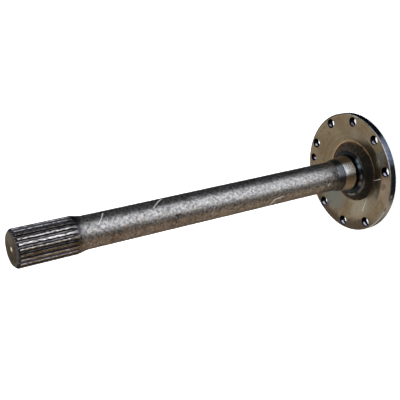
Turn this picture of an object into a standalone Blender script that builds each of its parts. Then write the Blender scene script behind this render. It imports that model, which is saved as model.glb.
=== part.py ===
"""Axle drive shaft: one steel forging with a dished bolting flange and a splined end.

The shaft stands on the flat pad of the flange's outer face, with its axis along +Z and its
spline at the top. Sizes are in metres. Angles are counted from +X, where the first bolt hole is.
"""

import math

import bmesh
import bpy

# Flange: a rim, a flat ring that bolts to the hub, and a web dished towards the middle
FLANGE_D = 0.210
RIM_THICKNESS = 0.013
RIM_CHAMFER = 0.0010
BOLT_RING_WIDTH = 0.023
BOLT_RING_BORE_D = FLANGE_D - 2 * BOLT_RING_WIDTH
WEB_EDGE_D = 0.1074
DISH_DEPTH = 0.012

# Outer face: a shallow cone out to the flat pad that the shaft stands on
OUTER_PAD_D = 0.104
OUTER_PAD_RISE = 0.011
NUT_RING_WIDTH = 0.025
OUTER_CONE_D = FLANGE_D - 2 * NUT_RING_WIDTH
OUTER_CONE_FILLET = 0.006

# Holes in the flange: ten even places on the bolt circle, of which one was never drilled
BOLT_TO_RIM = 0.01185
BOLT_CIRCLE_D = FLANGE_D - 2 * BOLT_TO_RIM
BOLT_PLACES = 10
UNDRILLED_PLACE = 9
BOLT_HOLE_D = 0.0162
JACK_HOLE_D = 0.0128
JACK_HOLE_PLACE = 4.5
HOLE_CHAMFER = 0.0005

# Boss: the as-forged middle of the dish, a step below the turned web around it
BOSS_STEP = 0.0012
BOSS_FLOOR_WIDTH = 0.0014
BOSS_FOOT_FILLET = 0.002
BOSS_HEIGHT = 0.0122
BOSS_TOP_D = 0.083
BOSS_TOP_FILLET = 0.0035

# Neck: a tapered ground land between the fillet at the boss and the flare into the bar
NECK_FILLET = 0.0085
LAND_FOOT_D = 0.0652
LAND_TOP_D = 0.0564
LAND_LENGTH = 0.033
LAND_TOP_FILLET = 0.020
FLARE_LENGTH = 0.009
FLARE_FOOT_FILLET = 0.020

# Bar, and the whole reach from the bolt ring's face to the end of the spline
BAR_D = 0.051
SHAFT_REACH = 0.622

# Spline: involute teeth, hobbed in the enlarged end, with a cone behind them down to the bar
SPLINE_TEETH = 22
SPLINE_MODULE = 0.0025
SPLINE_PRESSURE_ANGLE = math.radians(30)
SPLINE_ADDENDUM = 0.5 * SPLINE_MODULE
SPLINE_DEDENDUM = 0.6 * SPLINE_MODULE
SPLINE_LENGTH = 0.092
SPLINE_CHAMFER = 0.0039
CONE_LENGTH = 0.017
CONE_FILLET = 0.020
HOB_R = 0.030

# Centre drillings, one in each end, that the shaft was turned between
CENTRE_MOUTH_D = 0.0075
CENTRE_DRILL_D = 0.0040
CENTRE_DEPTH = 0.010
CENTRE_HALF_ANGLE = math.radians(30)
DRILL_POINT_HALF_ANGLE = math.radians(59)

# How finely round shapes are drawn, and how far cutters reach past what they cut
TURNED_STEPS = 66
HOLE_STEPS = 24
FILLET_STEP_ANGLE = math.radians(16)
FLANK_STEPS = 2
RUN_OUT_STEPS = 3
SHARP_ANGLE = math.radians(30)
OVERCUT = 0.001

# Levels along the axis, from the pad up to the tip
RIM_OUTER_Z = OUTER_PAD_RISE
FRONT_Z = RIM_OUTER_Z + RIM_THICKNESS
WEB_EDGE_Z = FRONT_Z - DISH_DEPTH
BOSS_FLOOR_Z = WEB_EDGE_Z - BOSS_STEP
BOSS_TOP_Z = BOSS_FLOOR_Z + BOSS_HEIGHT
LAND_TOP_Z = BOSS_TOP_Z + LAND_LENGTH
FLARE_TOP_Z = LAND_TOP_Z + FLARE_LENGTH
TIP_Z = FRONT_Z + SHAFT_REACH
SPLINE_FOOT_Z = TIP_Z - SPLINE_LENGTH
CONE_FOOT_Z = SPLINE_FOOT_Z - CONE_LENGTH

# Radii of the spline
PITCH_R = SPLINE_TEETH * SPLINE_MODULE / 2
BASE_R = PITCH_R * math.cos(SPLINE_PRESSURE_ANGLE)
CREST_R = PITCH_R + SPLINE_ADDENDUM
ROOT_R = PITCH_R - SPLINE_DEDENDUM


def clear_scene():
    """Remove whatever the start-up file holds."""
    for obj in list(bpy.data.objects):
        bpy.data.objects.remove(obj, do_unlink=True)


def new_collection(name):
    """Make a collection in the scene."""
    collection = bpy.data.collections.new(name)
    bpy.context.scene.collection.children.link(collection)
    return collection


def polar(radius, angle):
    """Turn a radius and an angle from +X into x and y."""
    return radius * math.cos(angle), radius * math.sin(angle)


def filleted(corners):
    """Round the corners of a profile.

    Each corner is (radius, height, fillet). A fillet takes at most half of the shorter
    straight beside it.
    """
    points = []
    for i, (x, z, fillet) in enumerate(corners):
        if fillet == 0:
            points.append((x, z))
            continue
        before = (corners[i - 1][0] - x, corners[i - 1][1] - z)
        after = (corners[i + 1][0] - x, corners[i + 1][1] - z)
        before_length = math.hypot(*before)
        after_length = math.hypot(*after)
        u = (before[0] / before_length, before[1] / before_length)
        v = (after[0] / after_length, after[1] / after_length)
        turn = math.pi - math.acos(u[0] * v[0] + u[1] * v[1])
        tangent = min(fillet * math.tan(turn / 2), before_length / 2, after_length / 2)
        arc_radius = tangent / math.tan(turn / 2)
        to_centre = (u[0] + v[0], u[1] + v[1])
        reach = math.hypot(arc_radius, tangent) / math.hypot(*to_centre)
        centre = (x + to_centre[0] * reach, z + to_centre[1] * reach)
        start = (x + u[0] * tangent - centre[0], z + u[1] * tangent - centre[1])
        side = math.copysign(1, u[1] * v[0] - u[0] * v[1])
        steps = max(2, math.ceil(turn / FILLET_STEP_ANGLE))
        for step in range(steps + 1):
            angle = side * turn * step / steps
            points.append((
                centre[0] + start[0] * math.cos(angle) - start[1] * math.sin(angle),
                centre[1] + start[0] * math.sin(angle) + start[1] * math.cos(angle),
            ))
    return points


def turned(name, profile, steps, collection):
    """Turn a profile of (radius, height) points, listed from top to bottom, about Z."""
    mesh = bpy.data.meshes.new(name)
    edges = [(i, i + 1) for i in range(len(profile) - 1)]
    mesh.from_pydata([(x, 0, z) for x, z in profile], edges, [])
    obj = bpy.data.objects.new(name, mesh)
    collection.objects.link(obj)
    screw = obj.modifiers.new("turn", "SCREW")
    screw.axis = "Z"
    screw.angle = math.tau
    screw.steps = steps
    screw.render_steps = steps
    screw.use_merge_vertices = True
    screw.merge_threshold = 0.00001
    return obj


def centre_drilling(end_z, inward):
    """Give the profile of a centre drilling, from its bottom on the axis to its mouth.

    inward is -1 for a drilling that goes down from end_z and +1 for one that goes up.
    """
    mouth_r = CENTRE_MOUTH_D / 2
    drill_r = CENTRE_DRILL_D / 2
    cone_depth = (mouth_r - drill_r) / math.tan(CENTRE_HALF_ANGLE)
    point_depth = drill_r / math.tan(DRILL_POINT_HALF_ANGLE)
    return [
        (0, end_z + inward * CENTRE_DEPTH, 0),
        (drill_r, end_z + inward * (CENTRE_DEPTH - point_depth), 0),
        (drill_r, end_z + inward * cone_depth, 0),
        (mouth_r, end_z, 0),
    ]


def shaft_blank(collection):
    """Turn the whole shaft, with its flange, before the spline and the holes are cut."""
    flange_r = FLANGE_D / 2
    bar_r = BAR_D / 2
    web_edge_r = WEB_EDGE_D / 2
    tip = centre_drilling(TIP_Z, -1)
    spline_end = [
        (CREST_R - SPLINE_CHAMFER, TIP_Z, 0),
        (CREST_R, TIP_Z - SPLINE_CHAMFER, 0),
        (CREST_R, SPLINE_FOOT_Z, 0),
        (bar_r, CONE_FOOT_Z, CONE_FILLET),
    ]
    neck = [
        (bar_r, FLARE_TOP_Z, FLARE_FOOT_FILLET),
        (LAND_TOP_D / 2, LAND_TOP_Z, LAND_TOP_FILLET),
        (LAND_FOOT_D / 2, BOSS_TOP_Z, NECK_FILLET),
        (BOSS_TOP_D / 2, BOSS_TOP_Z, BOSS_TOP_FILLET),
        (web_edge_r - BOSS_FLOOR_WIDTH, BOSS_FLOOR_Z, BOSS_FOOT_FILLET),
        (web_edge_r, BOSS_FLOOR_Z, 0),
    ]
    flange = [
        (web_edge_r, WEB_EDGE_Z, 0),
        (BOLT_RING_BORE_D / 2, FRONT_Z, 0),
        (flange_r - RIM_CHAMFER, FRONT_Z, 0),
        (flange_r, FRONT_Z - RIM_CHAMFER, 0),
        (flange_r, RIM_OUTER_Z + RIM_CHAMFER, 0),
        (flange_r - RIM_CHAMFER, RIM_OUTER_Z, 0),
        (OUTER_CONE_D / 2, RIM_OUTER_Z, OUTER_CONE_FILLET),
        (OUTER_PAD_D / 2, 0, OUTER_CONE_FILLET),
    ]
    pad = centre_drilling(0, 1)[::-1]
    profile = filleted(tip + spline_end + neck + flange + pad)
    return turned("axle_shaft", profile, TURNED_STEPS, collection)


def involute(angle):
    """Involute function, in radians."""
    return math.tan(angle) - angle


def half_gap_angle(radius):
    """Half of the angle that a tooth gap takes at a radius, straight below the base circle."""
    flank_angle = math.acos(min(1, BASE_R / radius))
    half_tooth = math.pi / (2 * SPLINE_TEETH) + involute(SPLINE_PRESSURE_ANGLE) - involute(flank_angle)
    return math.pi / SPLINE_TEETH - half_tooth


def gap_outline(middle):
    """Outline of the gap whose middle is at an angle: one flank in, the root, the other out."""
    outer_r = CREST_R + OVERCUT
    radii = [outer_r + (ROOT_R - outer_r) * i / FLANK_STEPS for i in range(FLANK_STEPS + 1)]
    flank_in = [polar(radius, middle - half_gap_angle(radius)) for radius in radii]
    flank_out = [polar(radius, middle + half_gap_angle(radius)) for radius in reversed(radii)]
    return flank_in + [polar(ROOT_R, middle)] + flank_out


def extruded(edit, ring, offset):
    """Extrude a closed ring of edges by an offset, and give the ring at its new end."""
    made = bmesh.ops.extrude_edge_only(edit, edges=ring)["geom"]
    moved = [item for item in made if isinstance(item, bmesh.types.BMVert)]
    bmesh.ops.translate(edit, verts=moved, vec=offset)
    return [item for item in made if isinstance(item, bmesh.types.BMEdge) and item.is_boundary]


def spline_cutter(collection):
    """Make what the hob takes out of the blank: one long gap after another, a tooth lying on +X.

    Each gap starts past the tip and runs straight down at full depth. Then it follows the
    round hob outwards, to leave the metal at the spline's foot.
    """
    top_z = TIP_Z + OVERCUT
    tooth_depth = CREST_R - ROOT_R
    full_depth_z = SPLINE_FOOT_Z + math.sqrt(HOB_R**2 - (HOB_R - tooth_depth)**2)
    leaving_angle = math.acos(1 - (tooth_depth + OVERCUT) / HOB_R)
    edit = bmesh.new()
    for tooth in range(SPLINE_TEETH):
        middle = math.tau * (tooth + 0.5) / SPLINE_TEETH
        start = [edit.verts.new((x, y, top_z)) for x, y in gap_outline(middle)]
        ring = [edit.edges.new((start[i - 1], start[i])) for i in range(len(start))]
        ring = extruded(edit, ring, (0, 0, full_depth_z - top_z))
        for step in range(RUN_OUT_STEPS):
            begun = leaving_angle * step / RUN_OUT_STEPS
            ended = leaving_angle * (step + 1) / RUN_OUT_STEPS
            x, y = polar(HOB_R * (math.cos(begun) - math.cos(ended)), middle)
            ring = extruded(edit, ring, (x, y, HOB_R * (math.sin(begun) - math.sin(ended))))
    bmesh.ops.holes_fill(edit, edges=edit.edges)
    bmesh.ops.recalc_face_normals(edit, faces=edit.faces)
    mesh = bpy.data.meshes.new("spline_gaps")
    edit.to_mesh(mesh)
    edit.free()
    collection.objects.link(bpy.data.objects.new("spline_gaps", mesh))


def hole_profile(diameter):
    """Profile of what a drill and its countersinks take out of the rim, from top to bottom."""
    hole_r = diameter / 2
    mouth_r = hole_r + HOLE_CHAMFER + OVERCUT
    return [
        (0, FRONT_Z + OVERCUT),
        (mouth_r, FRONT_Z + OVERCUT),
        (hole_r, FRONT_Z - HOLE_CHAMFER),
        (hole_r, RIM_OUTER_Z + HOLE_CHAMFER),
        (mouth_r, RIM_OUTER_Z - OVERCUT),
        (0, RIM_OUTER_Z - OVERCUT),
    ]


def hole_cutters(collection):
    """Set a cutter at each place that was drilled, and the smaller one of the jack hole."""
    drilled = [place for place in range(BOLT_PLACES) if place != UNDRILLED_PLACE]
    holes = [("bolt_hole", BOLT_HOLE_D, place) for place in drilled]
    holes.append(("jack_hole", JACK_HOLE_D, JACK_HOLE_PLACE))
    for name, diameter, place in holes:
        cutter = turned(name, hole_profile(diameter), HOLE_STEPS, collection)
        angle = math.tau * place / BOLT_PLACES
        cutter.location.xy = polar(BOLT_CIRCLE_D / 2, angle)
        cutter.rotation_euler.z = angle


def cut(obj, cutters):
    """Take everything in the cutters' collection out of an object."""
    boolean = obj.modifiers.new("cut", "BOOLEAN")
    boolean.operation = "DIFFERENCE"
    boolean.solver = "EXACT"
    boolean.operand_type = "COLLECTION"
    boolean.collection = cutters
    for cutter in cutters.objects:
        cutter.display_type = "WIRE"
        cutter.hide_render = True


def finish(obj):
    """Keep the mesh that an object's modifiers make, shaded smooth between its sharp edges."""
    evaluated = obj.evaluated_get(bpy.context.evaluated_depsgraph_get())
    mesh = bpy.data.meshes.new_from_object(evaluated)
    mesh.name = obj.name
    obj.modifiers.clear()
    obj.data = mesh
    mesh.shade_smooth()
    mesh.set_sharp_from_angle(angle=SHARP_ANGLE)


def forged_steel():
    """Dark steel with forging scale, dulled and slightly brown."""
    material = bpy.data.materials.new("forged_steel")
    material.use_nodes = True
    shader = material.node_tree.nodes["Principled BSDF"]
    shader.inputs["Base Color"].default_value = (0.16, 0.15, 0.14, 1)
    shader.inputs["Metallic"].default_value = 0.9
    shader.inputs["Roughness"].default_value = 0.42
    return material


clear_scene()
parts = new_collection("drive_shaft")
cutters = new_collection("cutters")
shaft = shaft_blank(parts)
spline_cutter(cutters)
hole_cutters(cutters)
cut(shaft, cutters)
finish(shaft)
shaft.data.materials.append(forged_steel())
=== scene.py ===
"""Axle drive shaft, dressed: one steel forging with a dished bolting flange and a splined end.

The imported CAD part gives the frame. The shaft stands on the pad of its flange with its axis
along +Z. Sizes are in metres, and angles are counted from +X, where the first bolt hole is.
"""

import math

import bmesh
import bpy
import numpy as np
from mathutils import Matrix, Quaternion, Vector, noise


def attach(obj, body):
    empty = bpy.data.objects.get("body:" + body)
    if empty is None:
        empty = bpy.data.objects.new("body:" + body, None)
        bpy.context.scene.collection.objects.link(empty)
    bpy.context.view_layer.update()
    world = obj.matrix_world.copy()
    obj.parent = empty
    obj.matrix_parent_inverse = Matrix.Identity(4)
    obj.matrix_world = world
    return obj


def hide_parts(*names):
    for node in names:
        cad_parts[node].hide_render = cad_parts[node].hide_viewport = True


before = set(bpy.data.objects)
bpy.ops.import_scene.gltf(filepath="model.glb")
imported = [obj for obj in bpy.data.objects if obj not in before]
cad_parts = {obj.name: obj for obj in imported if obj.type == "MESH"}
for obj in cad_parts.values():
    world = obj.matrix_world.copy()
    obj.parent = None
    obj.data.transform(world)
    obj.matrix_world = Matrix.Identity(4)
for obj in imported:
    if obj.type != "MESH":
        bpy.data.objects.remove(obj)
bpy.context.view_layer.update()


# Outer face of the flange
# The side away from the bar. It was forged as a low dome and turned flat on the pad in the
# middle, which the shaft stands on, and on the ring where the nuts bear. The centre drilling
# held it in the lathe.
STEPS_ROUND = 220
INNER_STEPS = STEPS_ROUND // 2
CENTRE_STEPS = STEPS_ROUND // 4
PAD_INNER_R = 0.010
PAD_MIDDLE_R = 0.030
PAD_R = 0.052
PAD_RISE = 0.011
NUT_RING_CORNER_R = 0.080
NUT_RING_R = 0.082
DOME_ROUNDING = 0.006
DOME_ROUNDING_STEPS = 4
DOME_RING_STEP = 0.004
CENTRE_MOUTH_R = 0.00375
CENTRE_DRILL_R = 0.0020
CENTRE_CONE_DEPTH = 0.00303
CENTRE_WALL_DEPTH = 0.0088
CENTRE_DEPTH = 0.010
CENTRE_RING_STEP = 0.003
OUTER_Z = PAD_RISE
SCALE_DARK = (0.088, 0.089, 0.093, 1)
SCALE_GREY = (0.285, 0.285, 0.294, 1)
SCALE_AND_REFLECTION_BROWN = (0.205, 0.155, 0.112, 1)

steel = bmesh.new()
relief_depth = steel.verts.layers.float.new("relief_depth")
finishes = []


def ring(radius, level, steps=STEPS_ROUND, relief=0.0):
    """Set a ring of points round the shaft's axis, with the depth of its forged relief."""
    points = []
    for step in range(steps):
        angle = math.tau * step / steps
        point = steel.verts.new((radius * math.cos(angle), radius * math.sin(angle), level))
        point[relief_depth] = relief
        points.append(point)
    return points


def face(corners, finish):
    """Lay one face between points, in a finish."""
    made = steel.faces.new(corners)
    made.material_index = finishes.index(finish)
    made.smooth = True


def strip(start, end, finish):
    """Lay the strip between two rings of as many points, or where one has twice as many."""
    if len(start) == len(end):
        for i in range(len(start)):
            face((start[i - 1], start[i], end[i], end[i - 1]), finish)
        return
    coarse, fine = sorted((start, end), key=len)
    for i in range(len(coarse)):
        following = (i + 1) % len(coarse)
        face((coarse[i], fine[2 * i], fine[2 * i + 1]), finish)
        face((coarse[i], fine[2 * i + 1], coarse[following]), finish)
        face((coarse[following], fine[2 * i + 1], fine[2 * following]), finish)


def rounded(corners, steps):
    """Round the corners of a profile. Each corner is (radius, level) or (radius, level, rounding)."""
    line = []
    for i, corner in enumerate(corners):
        here = Vector(corner[:2])
        if len(corner) == 2:
            line.append(here)
            continue
        before = (Vector(corners[i - 1][:2]) - here).normalized()
        after = (Vector(corners[i + 1][:2]) - here).normalized()
        half_turn = (math.pi - before.angle(after)) / 2
        reach = corner[2] * math.tan(half_turn)
        centre = here + (before + after).normalized() * (corner[2] / math.cos(half_turn))
        first = here + before * reach - centre
        last = here + after * reach - centre
        for step in range(steps + 1):
            share = step / steps
            weight = math.sin((1 - share) * 2 * half_turn), math.sin(share * 2 * half_turn)
            line.append(centre + (first * weight[0] + last * weight[1]) / math.sin(2 * half_turn))
    return line


def turn(start, line, finish, longest, relief=0.0):
    """Carry the skin from a ring on along a profile, with a ring at least every so often."""
    for before, after in zip(line, line[1:]):
        count = max(1, math.ceil((after - before).length / longest))
        for step in range(1, count + 1):
            here = before.lerp(after, step / count)
            end = ring(here.x, here.y, len(start), relief)
            strip(start, end, finish)
            start = end
    return start


def centre_drilling(mouth, level, inwards, finish):
    """Drill a lathe centre in from the ring at its mouth: a cone, then a wall, then a point."""
    line = [Vector((CENTRE_MOUTH_R, level)),
            Vector((CENTRE_DRILL_R, level + inwards * CENTRE_CONE_DEPTH)),
            Vector((CENTRE_DRILL_R, level + inwards * CENTRE_WALL_DEPTH))]
    wall = turn(mouth, line, finish, CENTRE_RING_STEP)
    bottom = steel.verts.new((0, 0, level + inwards * CENTRE_DEPTH))
    for i in range(len(wall)):
        face((wall[i - 1], wall[i], bottom), finish)


def finish_named(name, metallic, roughness):
    """Start a finish for the steel, and give its material, its nodes and its shader."""
    material = bpy.data.materials.new(name)
    material.use_nodes = True
    finishes.append(material)
    shader = material.node_tree.nodes["Principled BSDF"]
    shader.inputs["Metallic"].default_value = metallic
    shader.inputs["Roughness"].default_value = roughness
    return material, material.node_tree, shader


def node(tree, kind, sockets, **settings):
    """Add a node, set it, and join or set its sockets."""
    made = tree.nodes.new("ShaderNode" + kind)
    for name, value in settings.items():
        setattr(made, name, value)
    for name, value in sockets.items():
        if isinstance(value, bpy.types.NodeSocket):
            tree.links.new(value, made.inputs[name])
        else:
            made.inputs[name].default_value = value
    return made


def place(tree):
    """Give the socket that holds a point's place on the shaft."""
    return node(tree, "TexCoord", {}).outputs["Object"]


def mottle(tree, where, grain, detail=4.0, roughness=0.6):
    """Cloudy noise with patches of about one grain across, from 0 to 1."""
    sockets = {"Vector": where, "Scale": 1 / grain, "Detail": detail, "Roughness": roughness}
    return node(tree, "TexNoise", sockets).outputs["Fac"]


def spread(tree, value, low, high, to_low=0.0, to_high=1.0):
    """Stretch the part of a value between low and high over another range."""
    sockets = {"Value": value, "From Min": low, "From Max": high, "To Min": to_low, "To Max": to_high}
    return node(tree, "MapRange", sockets, interpolation_type="SMOOTHSTEP").outputs["Result"]


def layered(tree, share, under, over):
    """Lay one colour over another by a share."""
    made = node(tree, "Mix", {0: share, 6: under, 7: over}, data_type="RGBA")
    return made.outputs[2]


def raised(tree, shader, height, depth):
    """Give the shader a fine relief of a depth, from a height between 0 and 1."""
    bump = node(tree, "Bump", {"Height": height, "Distance": depth, "Strength": 1.0})
    tree.links.new(bump.outputs[0], shader.inputs["Normal"])


forged_dome, tree, shader = finish_named("forged_dome", 0.85, 0.5)
where = place(tree)
scale = mottle(tree, where, 0.004)
colour = layered(tree, spread(tree, scale, 0.38, 0.62), SCALE_DARK, SCALE_GREY)
colour = layered(tree, spread(tree, mottle(tree, where, 0.018), 0.5, 0.7), colour, SCALE_AND_REFLECTION_BROWN)
tree.links.new(colour, shader.inputs["Base Color"])
raised(tree, shader, scale, 0.0002)

mouth = ring(CENTRE_MOUTH_R, 0, CENTRE_STEPS)
centre_drilling(mouth, 0, 1, forged_dome)
pad_inner = ring(PAD_INNER_R, 0, INNER_STEPS)
strip(mouth, pad_inner, forged_dome)
pad_middle = ring(PAD_MIDDLE_R, 0)
strip(pad_inner, pad_middle, forged_dome)
line = rounded([(PAD_MIDDLE_R, 0), (PAD_R, 0, DOME_ROUNDING),
                (NUT_RING_CORNER_R, OUTER_Z, DOME_ROUNDING), (NUT_RING_R, OUTER_Z)],
               DOME_ROUNDING_STEPS)
nut_ring = turn(pad_middle, line, forged_dome, DOME_RING_STEP)


# Rim
# The edge of the flange, turned to size and left blued, with a fine chamfer on both corners.
# Its low side carries a painted reflection, its front corner a painted highlight in worn patches,
# and handling has chipped it once.
RIM_R = 0.105
RIM_THICKNESS = 0.013
RIM_CHAMFER = 0.0010
RIM_RING_STEP = 0.0014
FRONT_Z = OUTER_Z + RIM_THICKNESS
BRIGHT_AZIMUTH = 40
LOW_AZIMUTH = -50
RIM_CHIP = (RIM_R, -24, 0.0190)
RIM_CHIP_R = 0.0045
RIM_BLUE = (0.030, 0.040, 0.070, 1)
RIM_GREY = (0.065, 0.070, 0.085, 1)
RIM_LOW_REFLECTION = (0.125, 0.118, 0.108, 1)
CHAMFER_BRIGHT = (0.480, 0.490, 0.520, 1)
CHAMFER_DULL = (0.060, 0.053, 0.047, 1)
DULL_EDGE = (0.4, 0.4, 0.4, 1)


def sums(tree, kind, a, b=0.0):
    """One sum of two values."""
    return node(tree, "Math", {0: a, 1: b}, operation=kind).outputs[0]


def times(tree, a, b):
    """Multiply two values."""
    return sums(tree, "MULTIPLY", a, b)


def polar(radius, azimuth, level):
    """Give a place by its distance from the axis, its azimuth in degrees and its level."""
    turned = math.radians(azimuth)
    return Vector((radius * math.cos(turned), radius * math.sin(turned), level))


def away_from(tree, where, spot):
    """Give the distance from a spot."""
    return node(tree, "VectorMath", {0: where, 1: spot}, operation="DISTANCE").outputs["Value"]


def towards(tree, where, azimuth, radius):
    """Give how far a point lies towards an azimuth, as a share of a radius."""
    side = node(tree, "VectorMath", {0: where, 1: polar(1, azimuth, 0)}, operation="DOT_PRODUCT")
    return sums(tree, "DIVIDE", side.outputs["Value"], radius)


blued_rim, tree, shader = finish_named("blued_rim", 1.0, 0.18)
shader.inputs["Specular Tint"].default_value = DULL_EDGE
where = place(tree)
colour = layered(tree, spread(tree, mottle(tree, where, 0.012), 0.4, 0.65), RIM_BLUE, RIM_GREY)
# Painted reflection: the low side of the rim is lighter.
low_side_light = spread(tree, towards(tree, where, LOW_AZIMUTH, RIM_R), 0.86, 0.97, 0.0, 0.9)
colour = layered(tree, low_side_light, colour, RIM_LOW_REFLECTION)
chip = spread(tree, away_from(tree, where, polar(*RIM_CHIP)), 0.0012, RIM_CHIP_R, 0.7, 0.0)
colour = layered(tree, chip, colour, CHAMFER_BRIGHT)
tree.links.new(colour, shader.inputs["Base Color"])
raised(tree, shader, mottle(tree, where, 0.002), 0.00005)

rim_chamfer, tree, shader = finish_named("rim_chamfer", 1.0, 0.25)
where = place(tree)
# Painted highlight: the chamfer is bright towards one side and on the low side, in worn patches.
bright = spread(tree, towards(tree, where, BRIGHT_AZIMUTH, RIM_R), 0.6, 0.95, 0.1, 1.0)
low_side_light = spread(tree, towards(tree, where, LOW_AZIMUTH, RIM_R), 0.88, 0.97, 0.0, 0.8)
wear = spread(tree, mottle(tree, where, 0.008), 0.34, 0.50)
wear = times(tree, wear, sums(tree, "MAXIMUM", bright, low_side_light))
colour = layered(tree, wear, CHAMFER_DULL, CHAMFER_BRIGHT)
tree.links.new(colour, shader.inputs["Base Color"])

rim_foot = ring(RIM_R - RIM_CHAMFER, OUTER_Z)
rim_line = [Vector((RIM_R - RIM_CHAMFER, OUTER_Z)), Vector((RIM_R, OUTER_Z + RIM_CHAMFER)),
            Vector((RIM_R, FRONT_Z - RIM_CHAMFER)), Vector((RIM_R - RIM_CHAMFER, FRONT_Z))]
rim_top = turn(rim_foot, rim_line[:3], blued_rim, RIM_RING_STEP)
rim_edge = turn(rim_top, rim_line[2:], rim_chamfer, RIM_RING_STEP)


# Bolting ring
# The flat ring that seats on the hub, turned clean and browned since by oil and damp, with a
# scratch or two. Nine bolt holes and a smaller jack hole are drilled through it, one place was
# left undrilled, and each hole is countersunk a little on both sides.
BOLT_RING_R = 0.082
BOLT_CIRCLE_R = 0.09315
BOLT_HOLE_R = 0.0081
JACK_HOLE_R = 0.0064
JACK_HOLE_MIDDLE = (BOLT_CIRCLE_R, 162, 0.0175)
HOLE_CHAMFER = 0.0005
HOLE_RING_DEPTHS = (HOLE_CHAMFER, 0.0045, 0.0085, RIM_THICKNESS - HOLE_CHAMFER)
WEB_EDGE_R = 0.0537
WEB_EDGE_Z = 0.012
DISH_SLOPE = (FRONT_Z - WEB_EDGE_Z) / (BOLT_RING_R - WEB_EDGE_R)
SECTOR_ENDS = (11, 33, 55, 77, 93, 105, 121, 143, 165, 187, 209, 231)
HOLE_STEPS = (22, 44, 66, 88, 99, 110, 132, 154, 176, 198, 220)
JACK_HOLE_STEP = 99
UNDRILLED_STEP = 198
CHEEK_STEPS = 8
MOUTH_SHARES = (0.45, 0.8, 1.0)
LATHE_MARK = 0.0008
LATHE_BAND = 0.0045
LATHE_DEPTH = 0.00004
TURNED_TAN = (0.165, 0.122, 0.070, 1)
TURNED_PALE = (0.215, 0.168, 0.105, 1)
TURNED_STAIN = (0.062, 0.042, 0.028, 1)
WEB_HIGHLIGHT = (0.250, 0.215, 0.150, 1)
WEB_REFLECTION_BLUE = (0.150, 0.148, 0.125, 1)
RING_HIGHLIGHT = (0.275, 0.255, 0.205, 1)
RING_RUST = (0.235, 0.165, 0.118, 1)
RING_RUST_PALE = (0.290, 0.215, 0.160, 1)
DARK_REFLECTION_OLIVE = (0.034, 0.033, 0.021, 1)
RUST_TAN = (0.385, 0.248, 0.125, 1)
SCRATCH_BRIGHT = (0.950, 0.930, 0.920, 1)
SHADE_BLACK = (0.002, 0.002, 0.003, 1)
HOLE_EDGE = (0.20, 0.20, 0.25, 1)
HOLE_REFLECTION_BLUE = (0.170, 0.185, 0.240, 1)
HOLE_GLINT = (0.700, 0.710, 0.730, 1)
HOLE_BLUE_AZIMUTH = 45
HOLE_BLUE_BAND = (0.0165, 0.0180, 0.0205, 0.0220)
DARK_SIDE_AZIMUTH = -110
DARK_SIDE_EDGE = (0.080, 0.094)
LIP_R = 0.0550
LIP_FADE = 0.0018
LIP_AZIMUTH = 100
DARK_EDGE_AZIMUTH = 138
SCRATCH_WIDTH = 0.0015
FLANGE_SCRATCH_WIDTH = 0.0009
# A scratch runs from one (radius, azimuth) to another.
FLANGE_SCRATCHES = (((0.058, -61), (0.0730, -73)), ((0.052, -19.5), (0.080, -8.5)))
# A spot is (place, full within, gone beyond, share, tone).
PAINTED_LIGHT_SPOTS = ((polar(0.062, -80, 0.016), 0.010, 0.034, 1.0, WEB_HIGHLIGHT),
                (polar(0.068, -140, 0.018), 0.012, 0.036, 1.0, WEB_REFLECTION_BLUE),
                (polar(0.0900, 16, FRONT_Z), 0.004, 0.019, 1.0, RING_HIGHLIGHT))
RUSTY_SPOTS = ((polar(0.0935, -27, FRONT_Z), 0.006, 0.022, 0.6, RING_RUST),
               (polar(0.0890, -14, FRONT_Z), 0.006, 0.024, 0.6, RING_RUST_PALE))
SMUDGES = ((polar(0.0887, -16, FRONT_Z), 0.0, 0.007, 0.35, TURNED_STAIN),
           (polar(0.0941, -17, FRONT_Z), 0.0, 0.007, 0.35, TURNED_STAIN),
           (polar(0.0931, -36, FRONT_Z), 0.0, 0.007, 0.35, TURNED_STAIN))
DARK_REFLECTION_SPOTS = ((polar(0.069, -12, 0.0185), 0.002, 0.014, 0.55, DARK_REFLECTION_OLIVE),
             (polar(0.0740, -22, 0.0206), 0.002, 0.014, 0.55, DARK_REFLECTION_OLIVE),
             (polar(0.0785, -31, 0.0225), 0.002, 0.014, 0.55, DARK_REFLECTION_OLIVE))


def level_at(tree, where):
    """Give a point's level on the shaft."""
    return node(tree, "SeparateXYZ", {"Vector": where}).outputs["Z"]


def radius_at(tree, where):
    """Give a point's distance from the shaft's axis."""
    flat = node(tree, "VectorMath", {0: where, 1: (1, 1, 0)}, operation="MULTIPLY").outputs[0]
    return node(tree, "VectorMath", {0: flat}, operation="LENGTH").outputs["Value"]


def ragged(tree, where, value, grain, reach):
    """Shift a value unevenly by up to a reach, so that an edge drawn by it comes out ragged."""
    shift = spread(tree, mottle(tree, where, grain), 0.3, 0.7, -reach, reach)
    return sums(tree, "ADD", value, shift)


def near(tree, where, spot, inner, outer):
    """Give 1 within a short way of a spot, and fade to 0 further out, with a ragged edge."""
    away = ragged(tree, where, away_from(tree, where, spot), 0.015, 0.006)
    return spread(tree, away, inner, outer, 1.0, 0.0)


def spotted(tree, where, colour, spots, mask=1.0):
    """Lay spots over a colour, as far as a mask lets them show."""
    for spot, inner, outer, share, tone in spots:
        cover = times(tree, near(tree, where, spot, inner, outer), share)
        colour = layered(tree, times(tree, cover, mask), colour, tone)
    return colour


def between(tree, value, start, full, fading, end):
    """Give 1 over a band of a value, and fade to 0 past both of its edges."""
    rising = spread(tree, value, start, full)
    return times(tree, rising, spread(tree, value, fading, end, 1.0, 0.0))


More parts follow.
